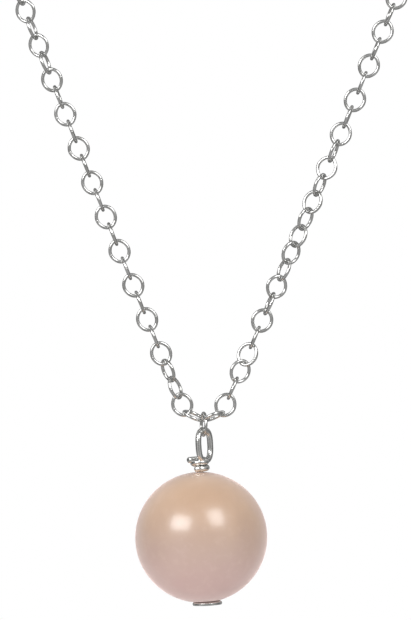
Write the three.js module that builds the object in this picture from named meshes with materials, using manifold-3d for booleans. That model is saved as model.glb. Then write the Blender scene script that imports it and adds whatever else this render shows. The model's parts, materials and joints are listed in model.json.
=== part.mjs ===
// A single-pearl pendant on a fine round-link chain, closed by a lobster claw at the nape.
//
// Millimetres, +Z up.  The origin is the centre of the half ring of chain that lies round the back
// of the neck.  +Y points to the back of the neck, and the two straight sides of the chain hang in
// front of it in a plane parallel to XZ.  Left and right are as seen from the front: +X is right.

import * as THREE from 'three';
import { mergeVertices } from 'three/addons/utils/BufferGeometryUtils.js';
import Module from 'manifold-3d';

const wasm = await Module();
wasm.setup();

// ---------------------------------------------------------------- driving dimensions (mm, g, degrees)

const NECKLACE_LENGTH = 457;        // once round, along the chain and the clasp
const NECK_RADIUS = 51.9;           // of the half ring of chain round the back of the neck
const SHOULDER_BEND = 3;            // radius at which the chain turns from the neck down the front
const FRONT_LINKS = 22;             // links on each side that are pieces of their own

const LINK_WIDTH = 2.05;            // outside
const LINK_LENGTH = 2.35;           // outside
const LINK_WIRE = 0.32;             // diameter
const LINK_CLEARANCE = 0.02;        // between the wires of two links that pull on each other
const RUN_GAP = 0.3;                // between a long run of chain and the piece it ends at
const SHOULDER_GAP = 0.5;           // on each side of the joint where the front hangs from the neck

const PEARL_DIAMETER = 12.1;
const PEARL_HEIGHT = 12;            // along the bore, before the seat is ground
const SEAT_DEPTH = 0.15;            // ground off the pearl for the head of the pin
const BORE_OFFSET = 0.24;           // from the bore to the middle of the pearl, towards -X
const BORE_CLEARANCE = 0.1;         // radial, between the pin and the bore
const PEARL_SEAT_GAP = 0.03;        // between the pearl and the metal above and below it

const PIN_WIRE = 0.55;              // diameter
const PIN_HEAD_DIAMETER = 2.7;
const PIN_HEAD_THICKNESS = 0.4;
const PIN_HEAD_EDGE = 0.1;          // bevel round the head
const PIN_LEAN = 3.6;               // of the pin from the vertical, its top towards -X
const WRAP_TURNS = 1.75;
const WRAP_GAP = 0.03;              // between turns
const WRAP_BITE = 0.03;             // how far the wrap is pressed into the pin
const CUT_END = 0.8;                // how far the cut end of the wrap runs straight on
const CUT_END_ANGLE = 140;          // round the pin from +X, where it leaves the pin
const LOOP_HALF_WIDTH = 1.14;       // to the middle of the wire
const LOOP_HALF_HEIGHT = 1.29;      // to the middle of the wire
const LOOP_OFFSET = 0.5;            // from the pin's axis to the middle of the loop
const LOOP_SINK = 0.1;              // of the loop's lowest wire into the wrap's top turn
const LOOP_TURN = 28;               // of the loop's plane from the YZ plane
const LOOP_CLEARANCE = 0.03;        // between the loop and the centre link's wire

const PENDANT_MASS = 2.5;           // of the pearl and its pin
const CHAIN_MASS = 0.0029;          // for each mm of chain

const CENTRE_LINK_TURN = -14;       // of the centre link's plane from the YZ plane
const CENTRE_HOOK_ANGLE = 55;       // from the centre link's top to where each side hooks on
const CENTRE_DROP = 0.52;           // from the lowest link joints of the two sides to their hooks
const LOWEST_LINK_TURN = 30;        // of the lowest link of each side about its own length

const CLAW_LENGTH = 7.4;            // without its eye
const CLAW_WIDTH = 5;
const CLAW_THICKNESS = 1.6;
const CLAW_BAR = 0.95;              // width of the claw's bar
const MOUTH_INSETS = [1.7, 1.8];    // from each end of the claw to the gap that the lever closes
const MOUTH_TOP = -0.5;
const EYE_RADIUS = 1.05;
const EYE_HOLE = 0.6;               // radius
const EYE_THICKNESS = 0.9;
const EYE_REACH = 0.65;             // from the claw's end to the middle of the eye
const PIVOT_INSET = 1.2;            // of the lever, from the claw's eye end
const PIVOT_HEIGHT = -1.1;          // from the middle of the claw
const PIVOT_BOSS = 0.85;            // radius
const PIVOT_SLOT = 1;               // radius
const LEVER_ROOT = 0.62;            // radius
const LEVER_THICKNESS = 0.8;
const LEVER_CLEARANCE = 0.12;
const THUMB_TAB = [0.8, 0.9];
const RIVET_RADIUS = 0.32;
const RIVET_CLEARANCE = 0.05;
const LEAF_SPRING_RADIUS = 0.81;
const LEAF_SPRING_GAUGE = 0.12;
const LEAF_SPRING_WIDTH = 0.6;
const LEAF_SPRING_ARC = [100, 230];
const JUMP_RING_RADIUS = 1.35;      // to the middle of the wire
const JUMP_RING_WIRE = 0.45;
const JUMP_RING_SHIFT = 0.2;        // of its wire from the middle of the eye's hole
const END_RING_RADIUS = 2;          // to the middle of the wire
const END_RING_WIRE = 0.5;
const END_RING_INSET = 0.65;        // of its wire in the claw, from the inside of the claw's end
const END_RING_HEIGHT = 0.4;        // from the middle of the claw

// ---------------------------------------------------------------- how finely round shapes are divided

const WIRE_SIDES = 6;
const LINK_STEPS = 14;
const RING_STEPS = 16;
const PIN_SIDES = 8;
const SHANK_SIDES = 10;
const BORE_SIDES = 12;
const LOOP_STEPS = 20;
const WRAP_STEPS = 24;
const DISC_SIDES = 16;
const ROUND_SIDES = 20;
const PEARL_SIDES = 28;
const PEARL_ROWS = 18;
const CLAW_CURVE_STEPS = 14;
const SPRING_CURVE_STEPS = 8;
const UPPER_RUN_STEPS = 6;
const NECK_RUN_STEPS = 26;

// ---------------------------------------------------------------- materials

const silver = (roughness) => new THREE.MeshStandardMaterial({ color: 0xc9cbca, roughness, metalness: 1 });
const steel = () => new THREE.MeshStandardMaterial({ color: 0x8f9296, roughness: 0.35, metalness: 1 });
const nacre = () => new THREE.MeshStandardMaterial({ color: 0xdcb29a, roughness: 0.28, metalness: 0 });

// ---------------------------------------------------------------- small helpers

const necklace = new THREE.Group();
const degrees = THREE.MathUtils.degToRad;
const vector = (x, y, z) => new THREE.Vector3(x, y, z);

function addPiece(name, geometry, material, parent = necklace) {
  const mesh = new THREE.Mesh(geometry, material);
  mesh.name = name;
  parent.add(mesh);
  return mesh;
}

// A closed geometry as a solid that can be joined and cut.
function solidOf(geometry) {
  const plain = geometry.clone();
  plain.deleteAttribute('normal');
  plain.deleteAttribute('uv');
  const merged = mergeVertices(plain, 1e-4);
  return new wasm.Manifold(new wasm.Mesh({
    numProp: 3,
    vertProperties: new Float32Array(merged.attributes.position.array),
    triVerts: new Uint32Array(merged.index.array),
  }));
}

function geometryOf(solid) {
  const mesh = solid.getMesh();
  const geometry = new THREE.BufferGeometry();
  geometry.setAttribute('position', new THREE.BufferAttribute(new Float32Array(mesh.vertProperties), 3));
  geometry.setIndex(new THREE.BufferAttribute(new Uint32Array(mesh.triVerts), 1));
  geometry.computeVertexNormals();
  return geometry;
}

// A regular outline for the section of a round wire or tube.
function roundSection(radius, sides) {
  const section = new THREE.Shape();
  for (let side = 0; side < sides; side += 1) {
    const angle = (2 * Math.PI * side) / sides;
    const x = radius * Math.cos(angle);
    const y = radius * Math.sin(angle);
    if (side === 0) {
      section.moveTo(x, y);
    } else {
      section.lineTo(x, y);
    }
  }
  section.closePath();
  return section;
}

function sweep(section, curve, steps) {
  return new THREE.ExtrudeGeometry(section, { steps, bevelEnabled: false, extrudePath: curve });
}

// A closed ring of wire in the XZ plane, longer along Z when the two half sizes differ.
// The half sizes are to the middle of the wire.
function ovalRing(halfWidth, halfLength, wireRadius, sides, steps) {
  const ring = new THREE.TorusGeometry(1, wireRadius, sides, steps);
  const position = ring.attributes.position;
  const point = vector(0, 0, 0);
  for (let index = 0; index < position.count; index += 1) {
    point.fromBufferAttribute(position, index);
    const angle = Math.atan2(point.y, point.x);
    const outward = Math.hypot(point.x, point.y) - 1;
    const x = (halfWidth + outward) * Math.cos(angle);
    const z = (halfLength + outward) * Math.sin(angle);
    position.setXYZ(index, x, -point.z, z);
  }
  ring.computeVertexNormals();
  return ring;
}

// ---------------------------------------------------------------- the line of the chain

const linkPitch = LINK_LENGTH - 2 * LINK_WIRE - LINK_CLEARANCE;
const hookReach = (LINK_WIRE + LINK_CLEARANCE) / 2;
const frontY = -SHOULDER_BEND;
const sideLength = (NECKLACE_LENGTH - Math.PI * (NECK_RADIUS + SHOULDER_BEND)) / 2;

// Heights below are counted from the lowest link joint of each side, and shifted once the
// height of the whole side is known.
const centreHalfWidth = (LINK_WIDTH - LINK_WIRE) / 2;
const centreHalfLength = (LINK_LENGTH - LINK_WIRE) / 2;
const hookAngle = degrees(CENTRE_HOOK_ANGLE);
const centreTurn = degrees(CENTRE_LINK_TURN);
const centreAcross = vector(Math.sin(centreTurn), Math.cos(centreTurn), 0);
const hookOut = (centreHalfWidth - hookReach) * Math.sin(hookAngle);
const hookRise = (centreHalfLength - hookReach) * Math.cos(hookAngle);

// Each side's lowest link reaches from its joint at this half spread to its hook on the centre link.
const hook = centreAcross.clone().multiplyScalar(hookOut);
const lowestSpread = Math.sqrt(linkPitch ** 2 - CENTRE_DROP ** 2 - hook.y ** 2) - hook.x;

// A hanging chain keeps its sideways pull, while its weight adds up towards the top, so each side
// is a little steeper at the top than at the pendant.
function sideSlope(along, pull) {
  return Math.atan(pull / (PENDANT_MASS / 2 + CHAIN_MASS * along));
}

function spreadOfSide(pull) {
  const steps = 200;
  let spread = lowestSpread;
  for (let step = 0; step < steps; step += 1) {
    spread += Math.sin(sideSlope(((step + 0.5) * sideLength) / steps, pull)) * (sideLength / steps);
  }
  return spread + SHOULDER_BEND * Math.sin(sideSlope(sideLength, pull));
}

let weakest = 0;
let strongest = PENDANT_MASS;
for (let round = 0; round < 50; round += 1) {
  const middle = (weakest + strongest) / 2;
  if (spreadOfSide(middle) < NECK_RADIUS) {
    weakest = middle;
  } else {
    strongest = middle;
  }
}
const sidePull = (weakest + strongest) / 2;
const topSlope = sideSlope(sideLength, sidePull);

// Points every link pitch up one side, as [half spread, height], with the last one at the shoulder.
const sidePoints = [[lowestSpread, 0]];
for (let along = 0; along < sideLength - linkPitch / 2; along += linkPitch) {
  const step = Math.min(linkPitch, sideLength - along);
  const slope = sideSlope(along + step / 2, sidePull);
  const [spread, height] = sidePoints.at(-1);
  sidePoints.push([spread + step * Math.sin(slope), height + step * Math.cos(slope)]);
}
const shoulderHeight = -SHOULDER_BEND * Math.cos(topSlope);
const lowestJoint = shoulderHeight - sidePoints.at(-1)[1];
const sidePoint = (number, side) => {
  const [spread, height] = sidePoints[number];
  return vector(side * spread, frontY, lowestJoint + height);
};

// ---------------------------------------------------------------- the links of the two sides

const linkShape = ovalRing(centreHalfWidth, centreHalfLength, LINK_WIRE / 2, WIRE_SIDES, LINK_STEPS);

// How far the chain has been turned about its own line at each link.
function chainTwist(number, turns) {
  let twist = 0;
  for (const [first, last, angle] of turns) {
    twist += angle * THREE.MathUtils.smoothstep(number, first, last);
  }
  return twist;
}

const SIDES = [
  { name: 'left', side: -1, turns: [[1.4, 5.6, 90], [19, 23, 20]] },
  { name: 'right', side: 1, turns: [[3, 6, 90], [6, 13, 45], [10, 21, 45]] },
];

function placeLink(mesh, from, to, roll) {
  const along = to.clone().sub(from).normalize();
  const across = vector(1, 0, 0).addScaledVector(along, -along.x).normalize();
  const through = along.clone().cross(across);
  mesh.setRotationFromMatrix(new THREE.Matrix4().makeBasis(across, through, along));
  mesh.rotateZ(degrees(roll));
  mesh.position.copy(from).add(to).multiplyScalar(0.5);
}

// Where the lowest link of a side takes hold of the centre link.
const centreHook = (side) => vector(0, frontY, lowestJoint - CENTRE_DROP).addScaledVector(hook, -side);

for (const { name, side, turns } of SIDES) {
  for (let number = 1; number <= FRONT_LINKS; number += 1) {
    const label = `${name}_link_${String(number).padStart(2, '0')}`;
    const lower = number === 1 ? centreHook(side) : sidePoint(number - 2, side);
    const turn = number === 1 ? side * LOWEST_LINK_TURN : chainTwist(number, turns);
    const roll = (number % 2 ? 90 : 0) + turn;
    const link = addPiece(label, linkShape.clone(), silver(0.18));
    placeLink(link, lower, sidePoint(number - 1, side), side * roll);
  }
}

// ---------------------------------------------------------------- the centre link

const centreHeight = lowestJoint - CENTRE_DROP - hookRise;
const centreLink = addPiece('centre_link', linkShape.clone(), silver(0.18));
centreLink.position.set(0, frontY, centreHeight);
centreLink.rotation.z = Math.PI / 2 - centreTurn;

// ---------------------------------------------------------------- the pearl on its pin

// The pendant's own frame has its origin on the pin's axis at the height of the pearl's middle.
const pendant = new THREE.Group();
necklace.add(pendant);

const wireRadius = PIN_WIRE / 2;
const wrapRadius = PIN_WIRE - WRAP_BITE;
const wrapBase = PEARL_HEIGHT / 2 + PEARL_SEAT_GAP + wireRadius;
const wrapPitch = PIN_WIRE + WRAP_GAP;
const wrapTop = wrapBase + WRAP_TURNS * wrapPitch;
const loopHeight = wrapTop - LOOP_SINK + LOOP_HALF_HEIGHT;
const headTop = -(PEARL_HEIGHT / 2 - SEAT_DEPTH) - PEARL_SEAT_GAP;

// The wrap climbs round the pin, and its cut end runs straight on to the front and the left.
class Wrap extends THREE.Curve {
  constructor() {
    super();
    this.turning = 2 * Math.PI * WRAP_TURNS * wrapRadius;
  }

  getPoint(t) {
    const run = t * (this.turning + CUT_END);
    const turned = Math.min(run, this.turning);
    const beyond = run - turned;
    const angle = degrees(CUT_END_ANGLE) - (this.turning - turned) / wrapRadius;
    const height = wrapBase + wrapPitch * WRAP_TURNS * (turned / this.turning);
    return vector(
      wrapRadius * Math.cos(angle) - beyond * Math.sin(angle),
      wrapRadius * Math.sin(angle) + beyond * Math.cos(angle),
      height,
    );
  }
}

function headpinGeometry() {
  const shank = new THREE.CylinderGeometry(wireRadius, wireRadius, wrapTop - headTop, SHANK_SIDES);
  shank.rotateX(Math.PI / 2);
  shank.translate(0, 0, (wrapTop + headTop) / 2);

  const rim = PIN_HEAD_DIAMETER / 2;
  const head = new THREE.LatheGeometry([
    new THREE.Vector2(0, headTop - PIN_HEAD_THICKNESS),
    new THREE.Vector2(rim - PIN_HEAD_EDGE, headTop - PIN_HEAD_THICKNESS),
    new THREE.Vector2(rim, headTop - PIN_HEAD_THICKNESS + PIN_HEAD_EDGE),
    new THREE.Vector2(rim, headTop),
    new THREE.Vector2(0, headTop),
  ], ROUND_SIDES);
  head.rotateX(Math.PI / 2);

  const loop = ovalRing(LOOP_HALF_WIDTH, LOOP_HALF_HEIGHT, wireRadius, PIN_SIDES, LOOP_STEPS);
  loop.rotateZ(Math.PI / 2 - degrees(LOOP_TURN));
  loop.translate(LOOP_OFFSET, 0, loopHeight);

  const wrap = sweep(roundSection(wireRadius, PIN_SIDES), new Wrap(), WRAP_STEPS);
  return geometryOf(solidOf(shank).add(solidOf(head)).add(solidOf(loop)).add(solidOf(wrap)));
}

function pearlGeometry() {
  const ball = new THREE.SphereGeometry(PEARL_DIAMETER / 2, PEARL_SIDES, PEARL_ROWS);
  ball.rotateX(Math.PI / 2);
  ball.scale(1, 1, PEARL_HEIGHT / PEARL_DIAMETER);
  ball.translate(-BORE_OFFSET, 0, 0);
  const boreRadius = wireRadius + BORE_CLEARANCE;
  const bore = new THREE.CylinderGeometry(boreRadius, boreRadius, 2 * PEARL_HEIGHT, BORE_SIDES);
  bore.rotateX(Math.PI / 2);
  const seat = new THREE.CylinderGeometry(PIN_HEAD_DIAMETER, PIN_HEAD_DIAMETER, PEARL_HEIGHT, ROUND_SIDES);
  seat.rotateX(Math.PI / 2);
  seat.translate(0, 0, SEAT_DEPTH - PEARL_HEIGHT);
  return geometryOf(solidOf(ball).subtract(solidOf(bore)).subtract(solidOf(seat)));
}

addPiece('headpin', headpinGeometry(), silver(0.2), pendant);
addPiece('pearl', pearlGeometry(), nacre(), pendant);

// The top of the loop hangs in the foot of the centre link.
const loopTop = vector(LOOP_OFFSET, 0, loopHeight + LOOP_HALF_HEIGHT);
const linkFoot = vector(0, frontY, centreHeight - centreHalfLength);
pendant.rotation.y = -degrees(PIN_LEAN);
pendant.position.copy(linkFoot);
pendant.position.z += (LINK_WIRE + PIN_WIRE) / 2 + LOOP_CLEARANCE;
pendant.position.sub(loopTop.applyEuler(pendant.rotation));

// ---------------------------------------------------------------- the clasp

// The clasp's own frame has its origin in the middle of the claw, X along the chain and Z up.
const clasp = new THREE.Group();
necklace.add(clasp);

const pivot = [PIVOT_INSET - CLAW_LENGTH / 2, PIVOT_HEIGHT];
const mouth = [MOUTH_INSETS[0] - CLAW_LENGTH / 2, CLAW_LENGTH / 2 - MOUTH_INSETS[1]];
const eyeCentre = -CLAW_LENGTH / 2 - EYE_REACH;
const jumpRingCentre = eyeCentre - JUMP_RING_SHIFT - JUMP_RING_RADIUS;
const endRingCentre = CLAW_LENGTH / 2 - CLAW_BAR - END_RING_INSET + END_RING_RADIUS;
const claspStart = jumpRingCentre - JUMP_RING_RADIUS - JUMP_RING_WIRE / 2 - RUN_GAP;
const claspEnd = endRingCentre + END_RING_RADIUS + END_RING_WIRE / 2 + RUN_GAP;
const halfClasp = (claspEnd - claspStart) / 2;
clasp.position.set(-(claspStart + claspEnd) / 2, Math.sqrt(NECK_RADIUS ** 2 - halfClasp ** 2), 0);

// An outline drawn in the XZ plane, made thick along Y.
function plate(shape, thickness, curveSegments) {
  const geometry = new THREE.ExtrudeGeometry(shape, { depth: thickness, bevelEnabled: false, curveSegments });
  geometry.translate(0, 0, -thickness / 2);
  geometry.rotateX(Math.PI / 2);
  return solidOf(geometry);
}

function disc([x, z], radius, thickness) {
  const geometry = new THREE.CylinderGeometry(radius, radius, thickness, DISC_SIDES);
  geometry.translate(x, 0, z);
  return solidOf(geometry);
}

function block([left, right], [bottom, top], thickness) {
  const geometry = new THREE.BoxGeometry(right - left, thickness, top - bottom);
  geometry.translate((left + right) / 2, 0, (bottom + top) / 2);
  return solidOf(geometry);
}

function clawRing(thickness) {
  const outline = new THREE.Shape();
  outline.absellipse(0, 0, CLAW_LENGTH / 2, CLAW_WIDTH / 2, 0, 2 * Math.PI);
  const opening = new THREE.Path();
  opening.absellipse(0, 0, CLAW_LENGTH / 2 - CLAW_BAR, CLAW_WIDTH / 2 - CLAW_BAR, 0, 2 * Math.PI);
  outline.holes.push(opening);
  return plate(outline, thickness, CLAW_CURVE_STEPS);
}

const slotThickness = LEVER_THICKNESS + 2 * LEVER_CLEARANCE;

function claspBody() {
  const gap = block(mouth, [-CLAW_WIDTH, MOUTH_TOP], 2 * CLAW_THICKNESS);
  const armSlot = block([pivot[0], mouth[0] + LEVER_CLEARANCE], [-CLAW_WIDTH, pivot[1]], slotThickness);
  const slot = disc(pivot, PIVOT_SLOT, slotThickness).add(armSlot);
  const rivetHole = disc(pivot, RIVET_RADIUS + RIVET_CLEARANCE, 2 * CLAW_THICKNESS);
  return clawRing(CLAW_THICKNESS)
    .subtract(gap)
    .add(disc(pivot, PIVOT_BOSS, CLAW_THICKNESS))
    .add(disc([eyeCentre, 0], EYE_RADIUS, EYE_THICKNESS))
    .subtract(slot)
    .subtract(rivetHole)
    .subtract(disc([eyeCentre, 0], EYE_HOLE, CLAW_THICKNESS));
}

function claspLever() {
  const arm = clawRing(LEVER_THICKNESS).intersect(
    block([pivot[0], mouth[1] - LEVER_CLEARANCE], [-CLAW_WIDTH, MOUTH_TOP - LEVER_CLEARANCE], CLAW_WIDTH),
  );
  const [tabWidth, tabDrop] = THUMB_TAB;
  const tab = block(
    [pivot[0] - tabWidth / 2, pivot[0] + tabWidth / 2],
    [pivot[1] - LEVER_ROOT - tabDrop, pivot[1]],
    LEVER_THICKNESS,
  );
  return disc(pivot, LEVER_ROOT, LEVER_THICKNESS)
    .add(arm)
    .add(tab)
    .subtract(disc(pivot, RIVET_RADIUS + RIVET_CLEARANCE, CLAW_THICKNESS));
}

function leafSpring() {
  const [first, last] = LEAF_SPRING_ARC.map(degrees);
  const outline = new THREE.Shape();
  outline.absarc(pivot[0], pivot[1], LEAF_SPRING_RADIUS + LEAF_SPRING_GAUGE / 2, first, last, false);
  outline.absarc(pivot[0], pivot[1], LEAF_SPRING_RADIUS - LEAF_SPRING_GAUGE / 2, last, first, true);
  outline.closePath();
  return plate(outline, LEAF_SPRING_WIDTH, SPRING_CURVE_STEPS);
}

addPiece('clasp_body', geometryOf(claspBody()), silver(0.16), clasp);
addPiece('clasp_lever', geometryOf(claspLever()), silver(0.16), clasp);
addPiece('clasp_rivet', geometryOf(disc(pivot, RIVET_RADIUS, CLAW_THICKNESS)), silver(0.3), clasp);
addPiece('clasp_spring', geometryOf(leafSpring()), steel(), clasp);

function flatRing(name, radius, wire, centre, height) {
  const shape = ovalRing(radius, radius, wire / 2, WIRE_SIDES, RING_STEPS);
  const ring = addPiece(name, shape, silver(0.18), clasp);
  ring.rotation.x = Math.PI / 2;
  ring.position.set(centre, 0, height);
}

flatRing('clasp_jump_ring', JUMP_RING_RADIUS, JUMP_RING_WIRE, jumpRingCentre, 0);
flatRing('end_ring', END_RING_RADIUS, END_RING_WIRE, endRingCentre, END_RING_HEIGHT);

// ---------------------------------------------------------------- the long runs of chain

// Alternate links of the chain face each way, so a run has the outline of the cross they make.
function runSection() {
  const reach = LINK_WIDTH / 2;
  const flat = LINK_WIRE / 2;
  const outline = [
    [reach, -flat], [reach, flat], [flat, reach], [-flat, reach],
    [-reach, flat], [-reach, -flat], [-flat, -reach], [flat, -reach],
  ];
  return new THREE.Shape(outline.map(([x, y]) => new THREE.Vector2(x, y)));
}

// From the shoulder over the bend and round the back of the neck to the clasp.
class NeckRun extends THREE.Curve {
  constructor(side) {
    super();
    this.side = side;
    this.bend = (Math.PI / 2) * SHOULDER_BEND;
    this.start = SHOULDER_GAP;
    this.end = this.bend + NECK_RADIUS * Math.acos(halfClasp / NECK_RADIUS);
  }

  getPoint(t) {
    const run = this.start + t * (this.end - this.start);
    if (run < this.bend) {
      const angle = run / SHOULDER_BEND;
      const rise = SHOULDER_BEND * Math.sin(angle);
      const shoulder = sidePoint(sidePoints.length - 1, this.side);
      return shoulder.add(vector(
        this.side * rise * Math.sin(topSlope),
        SHOULDER_BEND * (1 - Math.cos(angle)),
        rise * Math.cos(topSlope),
      ));
    }
    const angle = (run - this.bend) / NECK_RADIUS;
    return vector(this.side * NECK_RADIUS * Math.cos(angle), NECK_RADIUS * Math.sin(angle), 0);
  }
}

// Up the front from the highest single link to the shoulder.
function frontRun(side) {
  const startJoint = FRONT_LINKS - 1;
  const lastJoint = sidePoints.length - 1;
  const toward = (from, to, distance) => to.clone().sub(from).normalize().multiplyScalar(distance).add(from);
  const points = [];
  const strides = 4;
  for (let stride = 0; stride <= strides; stride += 1) {
    points.push(sidePoint(Math.round(startJoint + ((lastJoint - startJoint) * stride) / strides), side));
  }
  points[0] = toward(points[0], points[1], hookReach + LINK_WIRE / 2 + RUN_GAP);
  points[strides] = toward(points[strides], points[strides - 1], SHOULDER_GAP);
  return new THREE.CatmullRomCurve3(points);
}

for (const { name, side } of SIDES) {
  addPiece(`${name}_upper_chain`, sweep(runSection(), frontRun(side), UPPER_RUN_STEPS), silver(0.25));
  addPiece(`${name}_neck_chain`, sweep(runSection(), new NeckRun(side), NECK_RUN_STEPS), silver(0.25));
}

export default necklace;
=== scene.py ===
"""A single-pearl pendant on a fine round-link chain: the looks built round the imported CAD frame."""

import json
import math

import bpy
import numpy as np
from mathutils import Matrix, Vector


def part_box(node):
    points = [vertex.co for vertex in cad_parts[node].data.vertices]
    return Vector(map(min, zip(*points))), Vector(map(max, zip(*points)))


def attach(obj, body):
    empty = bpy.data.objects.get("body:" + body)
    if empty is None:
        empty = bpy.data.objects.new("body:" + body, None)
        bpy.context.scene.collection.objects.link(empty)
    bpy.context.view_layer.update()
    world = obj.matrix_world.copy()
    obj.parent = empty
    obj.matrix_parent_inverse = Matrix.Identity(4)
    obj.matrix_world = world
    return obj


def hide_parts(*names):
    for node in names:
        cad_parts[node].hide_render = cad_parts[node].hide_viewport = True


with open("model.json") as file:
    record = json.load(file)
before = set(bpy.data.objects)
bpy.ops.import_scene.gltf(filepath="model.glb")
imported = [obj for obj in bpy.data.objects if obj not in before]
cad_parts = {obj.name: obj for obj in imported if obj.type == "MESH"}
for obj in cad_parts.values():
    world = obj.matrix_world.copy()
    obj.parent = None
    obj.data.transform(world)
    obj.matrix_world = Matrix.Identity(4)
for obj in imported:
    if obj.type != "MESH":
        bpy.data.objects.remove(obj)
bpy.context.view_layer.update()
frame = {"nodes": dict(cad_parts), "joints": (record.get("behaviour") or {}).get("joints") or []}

MM = 0.001

# ---------------------------------------------------------------- sizes (mm), as in the CAD

LINK_WIDTH = 2.05
LINK_LENGTH = 2.35
LINK_WIRE = 0.32
LINK_CLEARANCE = 0.02
SINGLE_LINKS = 22
NECK_RADIUS = 51.9
SHOULDER_BEND = 3.0

PEARL_DIAMETER = 12.1
PEARL_HEIGHT = 12.0
SEAT_DEPTH = 0.15
BORE_OFFSET = 0.24
BORE_RADIUS = 0.375
PEARL_SEAT_GAP = 0.03

PIN_WIRE = 0.55
PIN_HEAD_DIAMETER = 2.7
PIN_HEAD_THICKNESS = 0.4
WRAP_TURNS = 1.75
WRAP_GAP = 0.03
WRAP_BITE = 0.03
CUT_END = 0.8
CUT_END_ANGLE = 140
LOOP_HALF_WIDTH = 1.14
LOOP_HALF_HEIGHT = 1.29
LOOP_OFFSET = 0.5
LOOP_SINK = 0.1
LOOP_TURN = 28.0

# Finer shape that only the looks have. The links' wire is thinner all round by LINK_POLISH, which leaves
# hooked links room to hinge. The loop is squarer and reaches lower, the wrap is wider and its end is flatter.
LINK_POLISH = 0.010
LOOP_SQUARENESS = 0.74
LOOP_FOOT = 0.22
WRAP_SWELL = 0.08
WRAP_LAST_RISE = 0.45

LINK_PITCH = LINK_LENGTH - 2 * LINK_WIRE - LINK_CLEARANCE
HALF_WIDTH = (LINK_WIDTH - LINK_WIRE) / 2
HALF_LENGTH = (LINK_LENGTH - LINK_WIRE) / 2

# ---------------------------------------------------------------- mesh building

# Both ends of a wire are rounded off by two rings, (share of the section, reach in radii), and a point.
CAP_RINGS = ((0.94, 0.1), (0.6, 0.26))
CAP_POINT = 0.32


def unit(vector):
    vector = np.asarray(vector, float)
    return vector / np.linalg.norm(vector)


class Shell:
    """Vertices (mm) and faces gathered from several closed surfaces."""

    def __init__(self):
        self.vertices = []
        self.faces = []

    def add(self, vertices, faces):
        start = sum(len(v) for v in self.vertices)
        self.vertices.append(np.asarray(vertices, float))
        self.faces.extend(tuple(start + i for i in face) for face in faces)
        return self

    def piece(self, name, material, body, slot, *replaced, place=None):
        """The surfaces as one smooth object that rides on a body. Place is a rotation and an origin."""
        points = np.concatenate(self.vertices)
        if place is not None:
            points = points @ place[0].T + place[1]
        mesh = bpy.data.meshes.new(name)
        mesh.from_pydata((points * MM).tolist(), [], self.faces)
        mesh.validate()
        mesh.update()
        mesh.shade_smooth()
        mesh.materials.append(material)
        piece = bpy.data.objects.new(name, mesh)
        bpy.context.scene.collection.objects.link(piece)
        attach(piece, body)
        if replaced:
            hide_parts(*replaced)


def grid_faces(rows, columns, closed_rows=False):
    """Quads over rows of points, each row closed on itself."""
    faces = []
    for row in range(rows if closed_rows else rows - 1):
        following = (row + 1) % rows
        for column in range(columns):
            beside = (column + 1) % columns
            faces.append((
                row * columns + column,
                row * columns + beside,
                following * columns + beside,
                following * columns + column,
            ))
    return faces


def tube(points, radii, sides, closed=False, across=None, flatten=1.0, squareness=1.0):
    """A wire along points, whose ends are closed and a little domed.

    Its section is round unless flatten makes it thinner or thicker along `across`.
    Squareness below 1 gives the section flatter faces.
    """
    points = np.asarray(points, float)
    count = len(points)
    radii = np.broadcast_to(np.asarray(radii, float), (count,))
    flatten = np.broadcast_to(np.asarray(flatten, float), (count,))
    if closed:
        tangents = np.roll(points, -1, 0) - np.roll(points, 1, 0)
    else:
        tangents = np.gradient(points, axis=0)
    tangents /= np.linalg.norm(tangents, axis=1)[:, None]
    if across is None:
        helper = np.eye(3)[np.argmin(np.abs(tangents[0]))]
        normal = unit(np.cross(tangents[0], helper))
        normals = [normal]
        for tangent in tangents[1:]:
            normal = unit(normal - (normal @ tangent) * tangent)
            normals.append(normal)
        normals = np.array(normals)
    else:
        normals = np.broadcast_to(np.asarray(across, float), (count, 3))
        normals = normals - np.sum(normals * tangents, axis=1)[:, None] * tangents
        normals /= np.linalg.norm(normals, axis=1)[:, None]
    binormals = np.cross(tangents, normals)
    angles = 2 * np.pi * np.arange(sides) / sides
    over = np.sign(np.cos(angles)) * np.abs(np.cos(angles)) ** squareness
    beside = np.sign(np.sin(angles)) * np.abs(np.sin(angles)) ** squareness
    rings = [
        points[i] + radii[i] * (flatten[i] * np.outer(over, normals[i]) + np.outer(beside, binormals[i]))
        for i in range(count)
    ]
    if closed:
        return np.concatenate(rings), grid_faces(count, sides, closed_rows=True)
    first, last = [], []
    for share, reach in CAP_RINGS:
        first.append(points[0] + (rings[0] - points[0]) * share - tangents[0] * radii[0] * reach)
        last.append(points[-1] + (rings[-1] - points[-1]) * share + tangents[-1] * radii[-1] * reach)
    rings = first[::-1] + rings + last
    faces = grid_faces(len(rings), sides)
    vertices = np.concatenate(rings)
    first_point = points[0] - tangents[0] * radii[0] * CAP_POINT
    last_point = points[-1] + tangents[-1] * radii[-1] * CAP_POINT
    cap = len(vertices)
    vertices = np.concatenate([vertices, [first_point, last_point]])
    last_ring = (len(rings) - 1) * sides
    for side in range(sides):
        beside = (side + 1) % sides
        faces.append((beside, side, cap))
        faces.append((last_ring + side, last_ring + beside, cap + 1))
    return vertices, faces


def lathe(profile, sides):
    """A closed surface of revolution about Z. The profile runs upwards from (0, z) to (0, z)."""
    angles = 2 * np.pi * np.arange(sides) / sides
    rings = [
        np.column_stack([r * np.cos(angles), r * np.sin(angles), np.full(sides, z)])
        for r, z in profile[1:-1]
    ]
    faces = grid_faces(len(rings), sides)
    vertices = np.concatenate(rings + [[[0, 0, profile[0][1]], [0, 0, profile[-1][1]]]])
    bottom = len(vertices) - 2
    last_ring = (len(rings) - 1) * sides
    for side in range(sides):
        beside = (side + 1) % sides
        faces.append((beside, side, bottom))
        faces.append((last_ring + side, last_ring + beside, bottom + 1))
    return vertices, faces


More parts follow.
